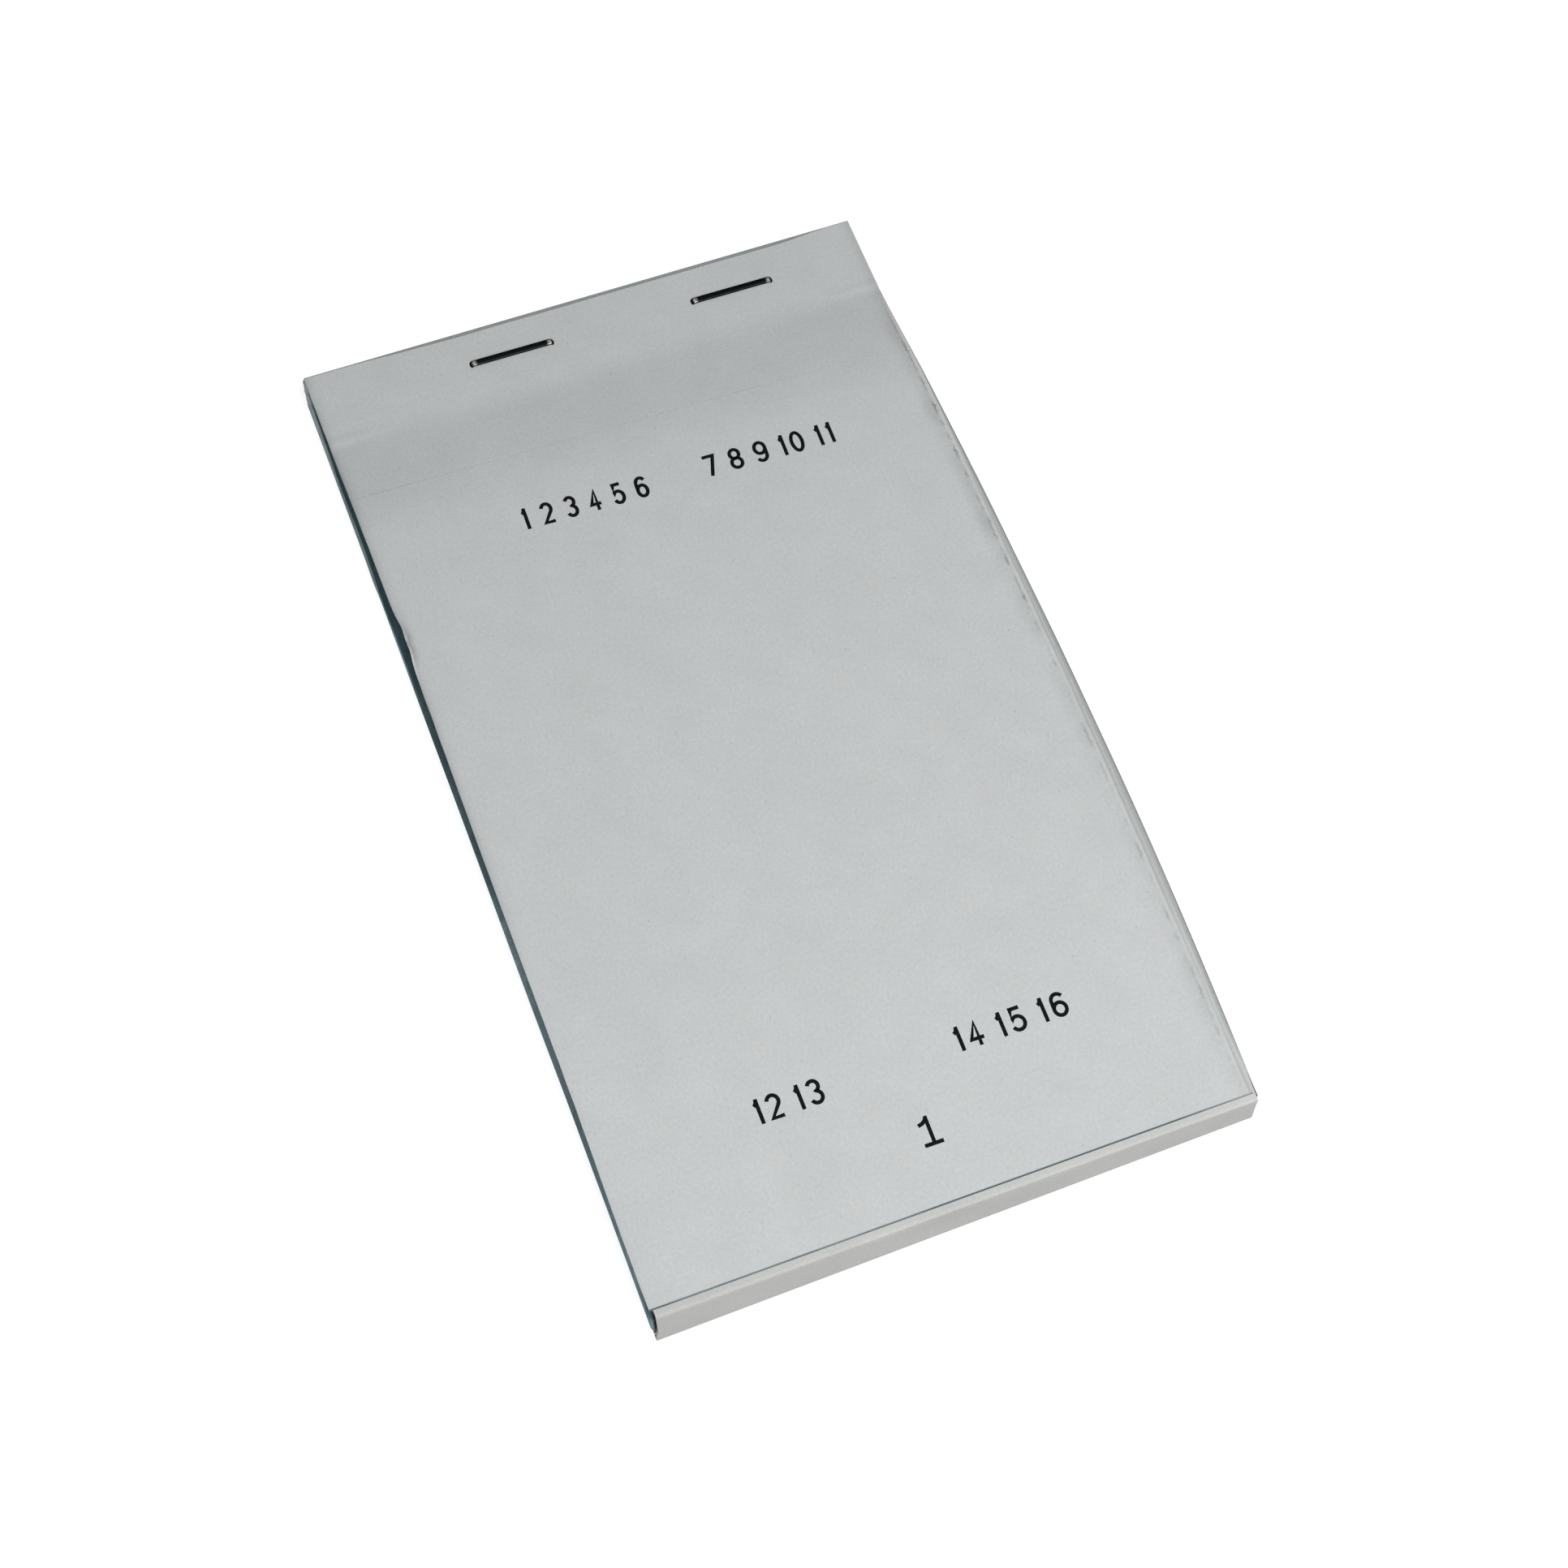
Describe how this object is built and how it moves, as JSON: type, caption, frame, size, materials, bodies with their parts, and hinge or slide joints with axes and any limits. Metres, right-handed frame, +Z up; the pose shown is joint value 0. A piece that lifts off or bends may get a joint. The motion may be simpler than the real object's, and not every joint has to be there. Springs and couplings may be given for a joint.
{
  "type": "order pad",
  "caption": "Stapled pad of duplicate order sheets with a perforated tear-off set, and a card back that folds round the foot and tucks under the top set as a writing shield.",
  "frame": {"origin": "bottom centre of the closed pad, on the underside of the back board", "axes": "X across the pad, +Y towards the stapled head, +Z up out of the top sheet"},
  "size_m": [0.095, 0.165, 0.0072],
  "materials": {
    "paper": "thin matt uncoated paper, cool white",
    "card": "matt off-white card",
    "staple_wire": "dark drawn steel wire, smooth, bright at the bends"
  },
  "bodies": {
    "pad": {"back_board": "card", "set_02": "paper", "set_03": "paper", "set_04": "paper", "set_05": "paper", "set_06": "paper", "set_07": "paper", "set_08": "paper", "set_09": "paper", "set_10": "paper", "set_11": "paper", "set_12": "paper", "set_13": "paper", "set_14": "paper", "set_15": "paper", "set_16": "paper", "set_17": "paper", "set_18": "paper", "set_19": "paper", "set_20": "paper", "set_21": "paper", "set_22": "paper", "set_23": "paper", "set_24": "paper", "set_25": "paper", "set_26": "paper", "set_27": "paper", "set_28": "paper", "set_29": "paper", "set_30": "paper", "set_31": "paper", "set_32": "paper", "set_33": "paper", "set_34": "paper", "set_35": "paper", "set_36": "paper", "set_37": "paper", "set_38": "paper", "set_39": "paper", "set_40": "paper", "set_41": "paper", "set_42": "paper", "set_43": "paper", "set_44": "paper", "set_45": "paper", "set_46": "paper", "set_47": "paper", "set_48": "paper", "set_49": "paper", "set_50": "paper", "under_copy_stub": "paper", "top_copy_stub": "paper", "staple_left": "staple_wire", "staple_right": "staple_wire"},
    "fold": {"fold_wall": "card"},
    "shield": {"writing_shield": "card"},
    "under_leaf": {"under_copy": "paper"},
    "top_leaf": {"top_copy": "paper"}
  },
  "joints": [
    {"name": "under_copy_lift", "type": "hinge", "parent": "pad", "child": "under_leaf", "pos_m": [0, 0.0575, 0.00692], "axis": [-0.9998, 0.0209, 0], "range_deg": [0, 88]},
    {"name": "top_copy_lift", "type": "hinge", "parent": "under_leaf", "child": "top_leaf", "pos_m": [0, 0.0575, 0.00692], "axis": [-0.9998, 0.0209, 0], "range_deg": [0, 84]},
    {"name": "fold_lean", "type": "hinge", "parent": "pad", "child": "fold", "pos_m": [0, -0.0825, 0], "axis": [1, 0, 0], "range_deg": [0, 7.04]},
    {"name": "shield_rise", "type": "hinge", "parent": "fold", "child": "shield", "pos_m": [0, -0.08116, 0.0061], "axis": [1, 0, 0], "range_deg": [0, 17.6]}
  ],
  "couplings": [
    {"joint": "fold_lean", "follows": "under_copy_lift", "ratio": 0.08},
    {"joint": "shield_rise", "follows": "under_copy_lift", "ratio": 0.2}
  ]
}
